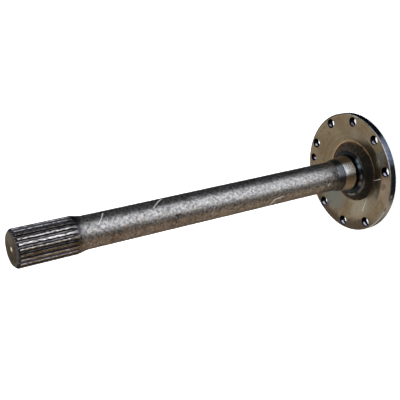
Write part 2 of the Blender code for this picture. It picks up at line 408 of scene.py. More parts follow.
def scratched(tree, where, ends, width):
    """Give 1 on a straight scratch between two places and 0 off it."""
    start, end = ends
    along = end - start
    away = node(tree, "VectorMath", {0: where, 1: start}, operation="SUBTRACT").outputs[0]
    sockets = {0: away, 1: along / along.length_squared}
    share = node(tree, "VectorMath", sockets, operation="DOT_PRODUCT").outputs["Value"]
    share = node(tree, "Math", {0: share, 1: 1.0}, operation="MULTIPLY", use_clamp=True).outputs[0]
    nearest = node(tree, "VectorMath", {0: along, "Scale": share}, operation="SCALE").outputs[0]
    return spread(tree, away_from(tree, away, nearest), 0.3 * width, 0.7 * width, 1.0, 0.0)


def lathe_marks(tree, radius, width, detail):
    """Noise that changes only with the distance from the axis, as a turning tool leaves it."""
    sockets = {"W": radius, "Scale": 1 / width, "Detail": detail}
    return node(tree, "TexNoise", sockets, noise_dimensions="1D").outputs["Fac"]


def turned_finish(name):
    """Turned steel, browned: fine lathe marks round the axis under a thin uneven stain, with painted
    highlights, reflections and shade laid over it.
    """
    material, tree, shader = finish_named(name, 1.0, 0.28)
    shader.inputs["Anisotropic"].default_value = 0.7
    shader.inputs["Anisotropic Rotation"].default_value = 0.25
    lathe = node(tree, "Tangent", {}, direction_type="RADIAL", axis="Z").outputs[0]
    tree.links.new(lathe, shader.inputs["Tangent"])
    where = place(tree)
    radius = radius_at(tree, where)

    clouds = spread(tree, mottle(tree, where, 0.03), 0.35, 0.7)
    colour = layered(tree, clouds, TURNED_TAN, TURNED_PALE)
    bands = spread(tree, lathe_marks(tree, radius, LATHE_BAND, 2.0), 0.45, 0.65, 0.0, 0.15)
    colour = layered(tree, bands, colour, TURNED_STAIN)
    # Painted highlights on the web and the ring, and a painted bluish reflection on the web.
    colour = spotted(tree, where, colour, PAINTED_LIGHT_SPOTS)

    # Darker towards one side, from near the ring's inner edge out to the rim.
    dark_side = spread(tree, towards(tree, where, DARK_SIDE_AZIMUTH, radius), 0.60, 0.80)
    dark_side_edge = spread(tree, ragged(tree, where, radius, 0.012, 0.005), *DARK_SIDE_EDGE, 0.0, 0.9)
    colour = layered(tree, times(tree, dark_side, dark_side_edge), colour, TURNED_STAIN)
    specks = spread(tree, mottle(tree, where, 0.007, 6.0), 0.56, 0.72)
    colour = layered(tree, times(tree, specks, 0.6), colour, TURNED_STAIN)

    lip = spread(tree, radius, LIP_R, LIP_R + LIP_FADE, 1.0, 0.0)
    lip_side = spread(tree, towards(tree, where, LIP_AZIMUTH, radius), -0.9, 0.9, 0.05, 1.0)
    lip = times(tree, lip, lip_side)
    lip = times(tree, lip, spread(tree, mottle(tree, where, 0.02), 0.35, 0.5, 0.5, 1.0))
    colour = layered(tree, lip, colour, RUST_TAN)

    on_ring = spread(tree, radius, BOLT_RING_R + 0.0002, BOLT_RING_R + 0.0010)
    on_web = spread(tree, radius, BOLT_RING_R - 0.0020, BOLT_RING_R - 0.0005, 1.0, 0.0)
    colour = spotted(tree, where, colour, RUSTY_SPOTS, on_ring)
    colour = spotted(tree, where, colour, SMUDGES)
    # Painted dark reflection: a dark olive band down the steep web on the near side.
    colour = spotted(tree, where, colour, DARK_REFLECTION_SPOTS, on_web)

    # Painted shade: a dark line along the ring's outer edge on the far side.
    edge = spread(tree, towards(tree, where, DARK_EDGE_AZIMUTH, radius), 0.55, 0.80, 0.0, 0.9)
    edge = times(tree, edge, spread(tree, radius, RIM_R - 0.0024, RIM_R - 0.0018))
    colour = layered(tree, edge, colour, SHADE_BLACK)

    scratch = 0.0
    for places in FLANGE_SCRATCHES:
        ends = [polar(spot_r, azimuth, FRONT_Z - (BOLT_RING_R - spot_r) * DISH_SLOPE)
                for spot_r, azimuth in places]
        mark = scratched(tree, where, ends, FLANGE_SCRATCH_WIDTH)
        scratch = sums(tree, "MAXIMUM", scratch, mark)
    scratch = times(tree, scratch, 0.8)
    colour = layered(tree, scratch, colour, SCRATCH_BRIGHT)
    tree.links.new(colour, shader.inputs["Base Color"])
    matt = sums(tree, "MAXIMUM", scratch, times(tree, lip, 0.7))
    tree.links.new(sums(tree, "SUBTRACT", 1.0, matt), shader.inputs["Metallic"])
    raised(tree, shader, lathe_marks(tree, radius, LATHE_MARK, 3.0), LATHE_DEPTH)
    return material


def hole_radius(hole):
    """Give the radius of the hole at a step round the bolt circle."""
    return JACK_HOLE_R if hole == JACK_HOLE_STEP else BOLT_HOLE_R


def across(inner, outer, step, level):
    """Give the column of points from the inner to the outer edge of the flat ring at one step."""
    angle = math.tau * step / STEPS_ROUND
    column = [inner[step % STEPS_ROUND]]
    for i in range(1, CHEEK_STEPS):
        radius = BOLT_RING_R + (RIM_R - RIM_CHAMFER - BOLT_RING_R) * i / CHEEK_STEPS
        column.append(steel.verts.new((radius * math.cos(angle), radius * math.sin(angle), level)))
    return column + [outer[step % STEPS_ROUND]]


def drilled_face(inner, outer, level, finish):
    """Lay a flat ring, and give each hole's middle and the loop of points at its mouth."""
    cheeks = {step: across(inner, outer, step, level) for step in SECTOR_ENDS[:-1]}
    cheeks[SECTOR_ENDS[-1]] = cheeks[SECTOR_ENDS[0]]
    mouths = {}
    for first, last, hole in zip(SECTOR_ENDS, SECTOR_ENDS[1:], HOLE_STEPS):
        if hole == UNDRILLED_STEP:
            columns = [across(inner, outer, step, level) for step in range(first + 1, last)]
            columns = [cheeks[first]] + columns + [cheeks[last]]
            for before, after in zip(columns, columns[1:]):
                for i in range(CHEEK_STEPS):
                    face((before[i], before[i + 1], after[i + 1], after[i]), finish)
            continue
        edge = [inner[step % STEPS_ROUND] for step in range(first, last + 1)]
        edge += cheeks[last][1:-1]
        edge += [outer[step % STEPS_ROUND] for step in range(last, first - 1, -1)]
        edge += cheeks[first][-2:0:-1]
        angle = math.tau * hole / STEPS_ROUND
        centre = Vector((BOLT_CIRCLE_R * math.cos(angle), BOLT_CIRCLE_R * math.sin(angle), level))
        mouth_r = HOLE_CHAMFER + hole_radius(hole)
        goals = [centre + (point.co - centre).normalized() * mouth_r for point in edge]
        loops = [edge]
        for share in MOUTH_SHARES:
            loop = [point.co.lerp(goal, share) for point, goal in zip(edge, goals)]
            loops.append([steel.verts.new(point) for point in loop])
        for before, after in zip(loops, loops[1:]):
            strip(before, after, finish)
        mouths[hole] = (centre, loops[-1])
    return mouths


bolting_ring = turned_finish("bolting_ring")

drilled_hole, tree, shader = finish_named("drilled_hole", 1.0, 0.3)
shader.inputs["Specular Tint"].default_value = HOLE_EDGE
where = place(tree)
level = ragged(tree, where, level_at(tree, where), 0.003, 0.0006)
# The painted bands below sit lower in the smaller jack hole.
jack_hole = near(tree, where, polar(*JACK_HOLE_MIDDLE), 0.012, 0.018)
level = sums(tree, "ADD", level, times(tree, jack_hole, 0.0030))
outwards = node(tree, "TexCoord", {}).outputs["Normal"]
# Painted reflection: a blue patch on the hole walls that face one way.
patch = between(tree, level, *HOLE_BLUE_BAND)
patch = times(tree, patch, spread(tree, towards(tree, outwards, HOLE_BLUE_AZIMUTH, 1.0), 0.78, 0.96))
# Painted shade: the hole walls are black.
wall = layered(tree, patch, SHADE_BLACK, HOLE_REFLECTION_BLUE)
# Painted glint along the foot of each hole.
colour = layered(tree, spread(tree, level, OUTER_Z + 0.0002, OUTER_Z + 0.0012), HOLE_GLINT, wall)
tree.links.new(colour, shader.inputs["Base Color"])

ring_edge = ring(BOLT_RING_R, FRONT_Z)
outer_mouths = drilled_face(nut_ring, rim_foot, OUTER_Z, forged_dome)
front_mouths = drilled_face(ring_edge, rim_edge, FRONT_Z, bolting_ring)
for hole, (centre, mouth) in front_mouths.items():
    outs = [(point.co - centre).normalized() * hole_radius(hole) for point in mouth]
    loops = [mouth]
    for depth in HOLE_RING_DEPTHS:
        loop = [(centre.x + out.x, centre.y + out.y, FRONT_Z - depth) for out in outs]
        loops.append([steel.verts.new(point) for point in loop])
    loops.append(outer_mouths[hole][1])
    for before, after in zip(loops, loops[1:]):
        strip(before, after, drilled_hole)


# Web
# The dished part of the flange inside the bolting ring, turned in the same cut as the ring.
WEB_RING_STEP = 0.002

turned_web = turned_finish("turned_web")

line = [Vector((BOLT_RING_R, FRONT_Z)), Vector((WEB_EDGE_R, WEB_EDGE_Z))]
web_edge = turn(ring_edge, line, turned_web, WEB_RING_STEP)


# Boss
# The middle of the dish, left as it came from the dies: brown-black scale, a little uneven, with
# painted grey and blue highlights along its upper corner and painted shade on its near side. The
# turning tool stopped short of it and left a small step, where rust has started.
BOSS_FLOOR_Z = 0.0108
BOSS_FOOT_R = 0.0523
BOSS_FOOT_ROUNDING = 0.0015
BOSS_TOP_R = 0.0415
BOSS_TOP_Z = 0.023
BOSS_TOP_ROUNDING = 0.0035
BOSS_MIDDLE_R = 0.0385
BOSS_RELIEF = 0.00012
BOSS_RING_STEP = 0.001
BOSS_ROUNDING_STEPS = 6
CORNER_HIGHLIGHT_BAND = (0.0365, 0.0390, 0.0415, 0.0440)
CORNER_GLINT_BAND = (0.0368, 0.0378, 0.0388, 0.0402)
BOSS_BROWN = (0.045, 0.033, 0.023, 1)
BOSS_BLACK = (0.016, 0.013, 0.011, 1)
BOSS_SHADE = (0.004, 0.006, 0.004, 1)
GREY_HIGHLIGHT = (0.185, 0.165, 0.140, 1)
GLINT_BLUE = (0.160, 0.205, 0.230, 1)
RUST_ORANGE = (0.130, 0.070, 0.032, 1)
CORNER_HIGHLIGHTS = ((polar(0.040, -84, BOSS_TOP_Z), 0.004, 0.013, 1.0, GREY_HIGHLIGHT),
                 (polar(0.040, -52, BOSS_TOP_Z), 0.004, 0.013, 1.0, GREY_HIGHLIGHT),
                 (polar(0.040, -34, BOSS_TOP_Z), 0.004, 0.013, 1.0, GREY_HIGHLIGHT))
CORNER_GLINTS = ((polar(0.039, 12, BOSS_TOP_Z), 0.002, 0.011, 1.0, GLINT_BLUE),
                (polar(0.039, 30, BOSS_TOP_Z), 0.002, 0.011, 1.0, GLINT_BLUE))
BOSS_SHADE_SPOT = ((polar(0.047, 8, 0.017), 0.012, 0.036, 0.6, BOSS_SHADE),)

boss_scale, tree, shader = finish_named("boss_scale", 0.0, 0.45)
shader.inputs["Specular IOR Level"].default_value = 0.05
where = place(tree)
radius = radius_at(tree, where)
colour = layered(tree, spread(tree, mottle(tree, where, 0.005), 0.4, 0.65), BOSS_BLACK, BOSS_BROWN)
# Painted highlights: grey spots along the rounded upper corner.
colour = spotted(tree, where, colour, CORNER_HIGHLIGHTS, between(tree, radius, *CORNER_HIGHLIGHT_BAND))
# Painted glints: blue spots on the corner next to the fillet.
colour = spotted(tree, where, colour, CORNER_GLINTS, between(tree, radius, *CORNER_GLINT_BAND))
# Painted shade: the near side of the boss is darker.
colour = spotted(tree, where, colour, BOSS_SHADE_SPOT)
foot = spread(tree, radius, BOSS_FOOT_R - 0.0018, BOSS_FOOT_R + 0.0002)
foot = times(tree, foot, spread(tree, mottle(tree, where, 0.008), 0.35, 0.6))
colour = layered(tree, foot, colour, RUST_ORANGE)
tree.links.new(colour, shader.inputs["Base Color"])
raised(tree, shader, mottle(tree, where, 0.003), 0.0002)

step_rust, tree, shader = finish_named("step_rust", 0.3, 0.6)
where = place(tree)
colour = layered(tree, spread(tree, mottle(tree, where, 0.006), 0.35, 0.6), BOSS_BROWN, RUST_ORANGE)
tree.links.new(colour, shader.inputs["Base Color"])

line = [Vector((WEB_EDGE_R, WEB_EDGE_Z)), Vector((WEB_EDGE_R, BOSS_FLOOR_Z))]
step_foot = turn(web_edge, line, step_rust, BOSS_RING_STEP)
line = rounded([(WEB_EDGE_R, BOSS_FLOOR_Z), (BOSS_FOOT_R, BOSS_FLOOR_Z, BOSS_FOOT_ROUNDING),
                (BOSS_TOP_R, BOSS_TOP_Z, BOSS_TOP_ROUNDING), (BOSS_MIDDLE_R, BOSS_TOP_Z)],
               BOSS_ROUNDING_STEPS)
boss_middle = turn(step_foot, line, boss_scale, BOSS_RING_STEP, BOSS_RELIEF)


# Neck
# The fillet and the short taper where the flange grows out of the bar. The taper is ground for a
# seal to run on, and painted highlights lie on two sides of it. The heat of the dies has blackened
# the fillet, with painted highlights here and there, and tinted the flare above the taper blue.
LAND_FOOT_R = 0.0326
LAND_TOP_R = 0.0282
LAND_TOP_Z = 0.056
FLARE_TOP_Z = 0.065
BAR_R = 0.0255
NECK_ROUNDING = 0.00508
LAND_TOP_ROUNDING = 0.020
FLARE_ROUNDING = 0.020
BAR_START_Z = 0.070
NECK_RING_STEP = 0.003
NECK_ROUNDING_STEPS = 8
SHEEN_Z = 0.0238
SHEEN_FADE = (0.001, 0.0075)
LAND_START = (0.0318, 0.0338)
TINT_START = (0.0515, 0.0545)
SCALE_START = (0.0630, 0.0690)
NECK_BLACK = (0.008, 0.010, 0.013, 1)
SHEEN_TEAL = (0.170, 0.230, 0.260, 1)
SHEEN_BROWN = (0.120, 0.098, 0.085, 1)
LAND_DULL = (0.200, 0.185, 0.160, 1)
LAND_PALE = (0.580, 0.480, 0.390, 1)
LAND_BRIGHT = (0.740, 0.790, 0.870, 1)
TINT_BLUE = (0.047, 0.052, 0.061, 1)
# A painted highlight on the land is (azimuth, faint from, full from, tone).
LAND_SHEENS = ((-38, 0.80, 0.99, LAND_PALE), (20, 0.89, 0.99, LAND_BRIGHT))
FILLET_SHEENS = ((polar(0.0372, 18, SHEEN_Z), SHEEN_TEAL), (polar(0.0372, 34, SHEEN_Z), SHEEN_TEAL),
                 (polar(0.0370, -14, SHEEN_Z), SHEEN_BROWN),
                 (polar(0.0360, -36, SHEEN_Z), SHEEN_BROWN))

heated_neck, tree, shader = finish_named("heated_neck", 1.0, 0.27)
where = place(tree)
level = ragged(tree, where, level_at(tree, where), 0.01, 0.0008)
radius = radius_at(tree, where)
land = LAND_DULL
# Painted highlights on two sides of the ground taper.
for azimuth, faint, full, tone in LAND_SHEENS:
    sheen = spread(tree, towards(tree, where, azimuth, radius), faint, full)
    land = layered(tree, sheen, land, tone)
fillet = NECK_BLACK
# Painted highlights on the black fillet, teal on one side and brown on another.
for spot, tone in FILLET_SHEENS:
    sheen = spread(tree, away_from(tree, where, spot), *SHEEN_FADE, 0.8, 0.0)
    fillet = layered(tree, sheen, fillet, tone)
scale = spread(tree, mottle(tree, where, 0.0042, 5.0, 0.7), 0.38, 0.62)
scale = layered(tree, scale, SCALE_DARK, SCALE_GREY)
colour = layered(tree, spread(tree, level, *LAND_START), fillet, land)
colour = layered(tree, spread(tree, level, *TINT_START), colour, TINT_BLUE)
colour = layered(tree, spread(tree, level, *SCALE_START), colour, scale)
tree.links.new(colour, shader.inputs["Base Color"])

line = rounded([(BOSS_MIDDLE_R, BOSS_TOP_Z), (LAND_FOOT_R, BOSS_TOP_Z, NECK_ROUNDING),
                (LAND_TOP_R, LAND_TOP_Z, LAND_TOP_ROUNDING), (BAR_R, FLARE_TOP_Z, FLARE_ROUNDING),
                (BAR_R, BAR_START_Z)], NECK_ROUNDING_STEPS)
bar_start = turn(boss_middle, line, heated_neck, NECK_RING_STEP)


# Bar
# The plain round length between flange and spline, rolled and left with its scale, so that it
# is dark and mottled. Its low side carries a painted reflection, brown and mottled like rust,
# handling has left scratches and a few dirty spots, and it is black where it meets the cone.
BAR_END_Z = 0.534
BAR_RELIEF = 0.00008
BAR_RING_STEP = 0.0043
BAR_LOW_AZIMUTH = -48
REFLECTION_TURNS = (0.32, 0.37)
BLACKENING_START = (0.5400, 0.5520)
REFLECTION_SAND = (0.310, 0.290, 0.258, 1)
FOOT_BLACK = (0.032, 0.032, 0.038, 1)
# A scratch is (share, places), and a place is (azimuth, level).
BAR_SCRATCHES = ((0.9, ((66, 0.506), (41, 0.514), (25, 0.521))),
                 (0.9, ((78, 0.404), (60, 0.416), (40, 0.427))),
                 (0.5, ((50, 0.359), (44, 0.350))),
                 (1.0, ((-27, 0.189), (-33, 0.205), (-66, 0.213))),
                 (0.35, ((-31, 0.329), (-6, 0.324))),
                 (1.0, ((-20, 0.0880), (-27, 0.0905))))
# A dirty spot is (place, size, share, tone).
BAR_SPOTS = (((13, 0.073), 0.011, 0.9, BOSS_BLACK), ((-27, 0.495), 0.014, 0.6, BOSS_BROWN),
             ((-9, 0.392), 0.008, 0.9, BOSS_BLACK), ((-32, 0.0925), 0.006, 1.0, BOSS_BLACK))

bar_scale, tree, shader = finish_named("bar_scale", 1.0, 0.40)
shader.inputs["Specular Tint"].default_value = DULL_EDGE
where = place(tree)
axes = node(tree, "SeparateXYZ", {"Vector": where}).outputs
low_side = towards(tree, where, BAR_LOW_AZIMUTH, BAR_R)
patches = mottle(tree, where, 0.0042, 5.0, 0.7)
colour = layered(tree, spread(tree, patches, 0.35, 0.65), SCALE_DARK, SCALE_GREY)

# Painted reflection: the low side is brown in patches, sandier towards the flange.
brown_reflection = spread(tree, mottle(tree, where, 0.0055, 5.0, 0.65), 0.50, 0.64)
brown_reflection = times(tree, brown_reflection, spread(tree, low_side, 0.35, 0.85, 0.1, 0.9))
brown_reflection_tone = layered(tree, spread(tree, axes["Z"], *REFLECTION_TURNS), REFLECTION_SAND, SCALE_AND_REFLECTION_BROWN)
colour = layered(tree, brown_reflection, colour, brown_reflection_tone)
pits = spread(tree, mottle(tree, where, 0.0020, 3.0), 0.60, 0.72, 0.0, 0.8)
colour = layered(tree, pits, colour, BOSS_BLACK)
for spot, size, share, tone in BAR_SPOTS:
    specks = spread(tree, mottle(tree, where, 0.0025, 3.0), 0.44, 0.54, 0.0, share)
    specks = times(tree, specks, near(tree, where, polar(BAR_R, *spot), 0.3 * size, size))
    colour = layered(tree, specks, colour, tone)
# Darker where the bar meets the cone, less so on the low side.
blackening = spread(tree, ragged(tree, where, axes["Z"], 0.006, 0.003), *BLACKENING_START, 0.0, 0.85)
blackening = times(tree, blackening, spread(tree, low_side, 0.45, 0.90, 1.0, 0.35))
colour = layered(tree, blackening, colour, FOOT_BLACK)

around = times(tree, sums(tree, "ARCTAN2", axes["Y"], axes["X"]), BAR_R)
unrolled = node(tree, "CombineXYZ", {"X": around, "Y": axes["Z"]}).outputs[0]
scratch = 0.0
for share, places in BAR_SCRATCHES:
    spots = [Vector((math.radians(azimuth) * BAR_R, level, 0)) for azimuth, level in places]
    for ends in zip(spots, spots[1:]):
        mark = times(tree, scratched(tree, unrolled, ends, SCRATCH_WIDTH), share)
        scratch = sums(tree, "MAXIMUM", scratch, mark)
colour = layered(tree, scratch, colour, SCRATCH_BRIGHT)
tree.links.new(colour, shader.inputs["Base Color"])
tree.links.new(sums(tree, "SUBTRACT", 1.0, scratch), shader.inputs["Metallic"])
roughness = spread(tree, mottle(tree, where, 0.004, 3.0), 0.3, 0.7, 0.30, 0.46)
tree.links.new(roughness, shader.inputs["Roughness"])
raised(tree, shader, patches, 0.00015)

line = [Vector((BAR_R, BAR_START_Z)), Vector((BAR_R, BAR_END_Z))]
bar_end = turn(bar_start, line, bar_scale, BAR_RING_STEP, BAR_RELIEF)


# Spline
# Involute teeth hobbed into the enlarged end. The cutter left the metal along its own round,
# so each gap fades out before the cone. The crests are worn bright, with a painted golden-brown
# reflection on the lower ones, and the gaps are painted dark, with a painted highlight at the roots.
TEETH = 22
MODULE = 0.0025
PRESSURE_ANGLE = math.radians(30)
SPLINE_CREST_R = 0.02875
SPLINE_ROOT_R = 0.0260
CONE_FOOT_Z = 0.537
CONE_ROUNDING = 0.020
CONE_SHARES = (0.1, 0.8, 1.0)
SPLINE_FOOT_Z = 0.554
TIP_Z = 0.646
TIP_CHAMFER = 0.0039
STRAIGHT_END_Z = TIP_Z - TIP_CHAMFER
HOB_R = 0.030
FULL_DEPTH_Z = SPLINE_FOOT_Z + math.sqrt(HOB_R**2 - (HOB_R - SPLINE_CREST_R + SPLINE_ROOT_R)**2)
ROOT_ROUNDING = 0.00025
CREST_ROUNDING = 0.00012
CREST_NICK = 0.00022
CONE_RING_STEP = 0.003
CONE_ROUNDING_STEPS = 4
FLANK_BELOW_ROOT = 0.0012
FLANK_ABOVE_CREST = 0.004
FLANK_POINTS = 40
HALF_TOOTH_POINTS = 11
SHALLOW_GAP = 0.0008
NICK_LENGTH = 0.004
FADING_RINGS = 8
STRAIGHT_RINGS = 36
CHAMFER_RINGS = (0.0006, 0.0013, 0.0020, 0.0026, 0.0029, 0.0034)
GOLD_AZIMUTH = -36
CREST_BRIGHT = (0.480, 0.475, 0.490, 1)
CREST_DULL = (0.045, 0.042, 0.040, 1)
CREST_GOLD = (0.130, 0.092, 0.045, 1)
FLANK_SHADE = (0.020, 0.021, 0.028, 1)
ROOT_GREY = (0.105, 0.100, 0.100, 1)


def involute(angle):
    """Involute function, in radians."""
    return math.tan(angle) - angle


def gap_flank(radius):
    """Angle from the middle of a gap to its flank, at a radius of the cutter at full depth."""
    pitch_r = TEETH * MODULE / 2
    flank_angle = math.acos(min(1, pitch_r * math.cos(PRESSURE_ANGLE) / radius))
    half_tooth = math.pi / (2 * TEETH) + involute(PRESSURE_ANGLE) - involute(flank_angle)
    return math.pi / TEETH - half_tooth


def gap_shape(shift):
    """Radius against angle of a gap's flank, with the cutter moved out by a shift."""
    lowest = SPLINE_ROOT_R - FLANK_BELOW_ROOT
    highest = SPLINE_CREST_R + FLANK_ABOVE_CREST
    radii = np.linspace(lowest, highest, FLANK_POINTS)
    halves = np.array([gap_flank(radius) for radius in radii])
    sideways = radii * np.sin(halves)
    outwards = radii * np.cos(halves) + shift
    return np.arctan2(sideways, outwards), np.hypot(sideways, outwards)


def blank_radius(level):
    """Radius of the turned blank along the teeth, with its end chamfer."""
    return SPLINE_CREST_R - max(0, level - STRAIGHT_END_Z)


def tooth_ring(level):
    """Set the ring of points that follows every tooth and gap at a level."""
    blank_r = blank_radius(level)
    rise = max(0, FULL_DEPTH_Z - level)
    shift = HOB_R - math.sqrt(HOB_R**2 - rise**2)
    angles, radii = gap_shape(shift)
    root_r = SPLINE_ROOT_R + shift
    half_pitch = math.pi / TEETH
    even = np.linspace(0, half_pitch, HALF_TOOTH_POINTS)
    root_end = float(np.interp(root_r, radii, angles))
    crest_start = float(np.interp(max(blank_r, root_r), radii, angles))
    cut = [0, 0.5 * root_end, 0.85 * root_end, root_end]
    cut += [root_end + (crest_start - root_end) * i / 5 for i in range(1, 6)]
    cut += [crest_start + (half_pitch - crest_start) * 0.2, half_pitch]
    share = min(1, max(0, (blank_r - root_r) / SHALLOW_GAP))
    halves = even + (np.array(cut) - even) * share
    points = []
    for tooth in range(TEETH):
        middle = math.tau * (tooth + 0.5) / TEETH
        for side in (-1, 1):
            order = halves[::-1] if side < 0 else halves
            for half in order[:-1]:
                nick = noise.noise(Vector((level / NICK_LENGTH, tooth * 3.7 + side, 2.5)))
                nick = CREST_NICK * max(0, nick - 0.1)
                flank_r = float(np.interp(half, angles, radii))
                low = (root_r + flank_r + math.hypot(root_r - flank_r, ROOT_ROUNDING)) / 2
                top = blank_r - nick
                radius = (low + top - math.hypot(low - top, CREST_ROUNDING)) / 2
                angle = middle + side * half
                point = (radius * math.cos(angle), radius * math.sin(angle), level)
                points.append(steel.verts.new(point))
    return points


worn_spline, tree, shader = finish_named("worn_spline", 1.0, 0.30)
shader.inputs["Specular Tint"].default_value = DULL_EDGE
where = place(tree)
level = level_at(tree, where)
radius = radius_at(tree, where)
drawn_out = node(tree, "VectorMath", {0: where, 1: (1, 1, 0.2)}, operation="MULTIPLY").outputs[0]

wear = spread(tree, mottle(tree, drawn_out, 0.0011, 4.0, 0.6), 0.38, 0.62)
wear = times(tree, wear, spread(tree, level, SPLINE_FOOT_Z, SPLINE_FOOT_Z + 0.018, 0.15, 1.0))
crest_colour = layered(tree, wear, CREST_DULL, CREST_BRIGHT)
# Painted reflection: golden-brown on the crests of the low side, in patches.
gold = spread(tree, towards(tree, where, GOLD_AZIMUTH, SPLINE_CREST_R), 0.66, 0.88)
gold = times(tree, gold, spread(tree, mottle(tree, drawn_out, 0.0009, 3.0, 0.7), 0.42, 0.58))
crest_colour = layered(tree, gold, crest_colour, CREST_GOLD)

crest = spread(tree, radius, SPLINE_CREST_R - 0.0006, SPLINE_CREST_R - 0.0002)
# Painted shade: the flanks of the gaps are near black.
colour = layered(tree, crest, FLANK_SHADE, crest_colour)
# Painted highlight along the roots of the gaps, in patches.
root = spread(tree, radius, SPLINE_ROOT_R + 0.0001, SPLINE_ROOT_R + 0.0005, 1.0, 0.0)
root = times(tree, root, spread(tree, mottle(tree, drawn_out, 0.0015), 0.36, 0.64))
colour = layered(tree, root, colour, ROOT_GREY)

# Painted highlight: the foot of the teeth is grey on the low side and black elsewhere.
low_side = spread(tree, towards(tree, where, BAR_LOW_AZIMUTH, BAR_R), 0.45, 0.95, 0.0, 0.8)
foot = layered(tree, low_side, FOOT_BLACK, GREY_HIGHLIGHT)
blackening = spread(tree, mottle(tree, where, 0.0025, 3.0), 0.45, 0.60)
foot = layered(tree, blackening, foot, FOOT_BLACK)
above_foot = spread(tree, level, SPLINE_FOOT_Z, SPLINE_FOOT_Z + 0.0020)
colour = layered(tree, above_foot, foot, colour)
tree.links.new(colour, shader.inputs["Base Color"])

line = rounded([(BAR_R, BAR_END_Z), (BAR_R, CONE_FOOT_Z, CONE_ROUNDING),
                (SPLINE_CREST_R, SPLINE_FOOT_Z)], CONE_ROUNDING_STEPS)
cone_foot = turn(bar_end, line[:-1], bar_scale, CONE_RING_STEP)
cone_line = [line[-2].lerp(line[-1], share) for share in CONE_SHARES]
before = ring(cone_line[0].x, cone_line[0].y, 2 * STEPS_ROUND)
strip(cone_foot, before, bar_scale)
before = turn(before, cone_line[:2], bar_scale, CONE_RING_STEP)
before = turn(before, cone_line[1:], worn_spline, CONE_RING_STEP)
levels = list(np.linspace(SPLINE_FOOT_Z, FULL_DEPTH_Z, FADING_RINGS)[1:])
levels += list(np.linspace(FULL_DEPTH_Z, STRAIGHT_END_Z, STRAIGHT_RINGS)[1:])
levels += [STRAIGHT_END_Z + rise for rise in CHAMFER_RINGS]
for level in levels:
    after = tooth_ring(float(level))
    strip(before, after, worn_spline)
    before = after
tip_edge = before


# End face
# The flat end of the splined part, turned when the blank was, with a centre drilling in it. It
# has gone olive brown, with painted light on one side and a clean edge where the chamfer meets
# it, and the drilling's mouth carries a painted highlight.
END_R = 0.02485
CLEAN_EDGE_START = 0.0190
CLEAN_EDGE_R = 0.0238
END_RINGS = ((CLEAN_EDGE_R, 2 * STEPS_ROUND), (0.021, STEPS_ROUND), (0.012, INNER_STEPS),
             (CENTRE_MOUTH_R, CENTRE_STEPS))
END_OLIVE = (0.050, 0.038, 0.024, 1)
END_DARK = (0.026, 0.019, 0.0125, 1)
END_PALE = (0.095, 0.078, 0.056, 1)
CENTRE_HIGHLIGHT = (0.800, 0.770, 0.730, 1)
END_LIGHT_SPOTS = ((polar(0.017, 100, TIP_Z), 0.004, 0.024, 1.0, END_PALE),)

end_face, tree, shader = finish_named("end_face", 0.0, 0.60)
shader.inputs["Specular IOR Level"].default_value = 0.02
where = place(tree)
colour = layered(tree, spread(tree, mottle(tree, where, 0.008), 0.35, 0.65), END_DARK, END_OLIVE)
# Painted light: the face is paler towards one side.
colour = spotted(tree, where, colour, END_LIGHT_SPOTS)
clean_edge = spread(tree, radius_at(tree, where), CLEAN_EDGE_START, CLEAN_EDGE_R, 0.0, 0.5)
colour = layered(tree, clean_edge, colour, END_PALE)
tree.links.new(colour, shader.inputs["Base Color"])

end_drilling, tree, shader = finish_named("end_drilling", 1.0, 0.35)
# Painted highlight at the mouth of the centre drilling, tan further in.
at_mouth = spread(tree, level_at(tree, place(tree)), TIP_Z - 0.0014, TIP_Z - 0.0002)
colour = layered(tree, at_mouth, CENTRE_HIGHLIGHT, RUST_TAN)
tree.links.new(colour, shader.inputs["Base Color"])

end_edge = ring(END_R, TIP_Z, 2 * STEPS_ROUND)
strip(tip_edge, end_edge, worn_spline)
before = end_edge
for radius, steps in END_RINGS:
    after = ring(radius, TIP_Z, steps)
    strip(before, after, end_face)
    before = after
centre_drilling(before, TIP_Z, -1, end_drilling)


# The forging as one piece
# All of the above is one closed skin. What was left as forged gets its uneven surface here, and
# the whole stands for the CAD solid.
RELIEF_GRAIN = 0.02
SHARP_ANGLE = math.radians(30)


def put(name, data):
    """Put a mesh, a lamp or a camera into the scene as a thing of its own."""
    made = bpy.data.objects.new(name, data)
    bpy.context.scene.collection.objects.link(made)
    return made


bmesh.ops.recalc_face_normals(steel, faces=steel.faces)
steel.normal_update()
for point in steel.verts:
    depth = point[relief_depth]
    if depth > 0:
        point.co += point.normal * depth * noise.noise(point.co / RELIEF_GRAIN)
mesh = bpy.data.meshes.new("drive_shaft")
steel.to_mesh(mesh)
steel.free()
for finish in finishes:
    mesh.materials.append(finish)
mesh.set_sharp_from_angle(angle=SHARP_ANGLE)
shaft = put("drive_shaft", mesh)
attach(shaft, "root")
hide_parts("axle_shaft")


# Floor
# A plain white floor that the shaft stands on. It isn't part of the shaft. It is white to the
# camera and in reflections, and keeps the shaft's shadow.
FLOOR_SIZE = 30.0
FLOOR_WHITE = (0.80, 0.80, 0.80, 1)
FLOOR_GLOW = 0.75


def seen_rays(tree):
    """Give 1 for rays from the camera, from a reflection or through glass, and 0 for the rest."""
    rays = node(tree, "LightPath", {}).outputs
    seen = sums(tree, "MAXIMUM", rays["Is Camera Ray"], rays["Is Glossy Ray"])
    return sums(tree, "MAXIMUM", seen, rays["Is Transmission Ray"])


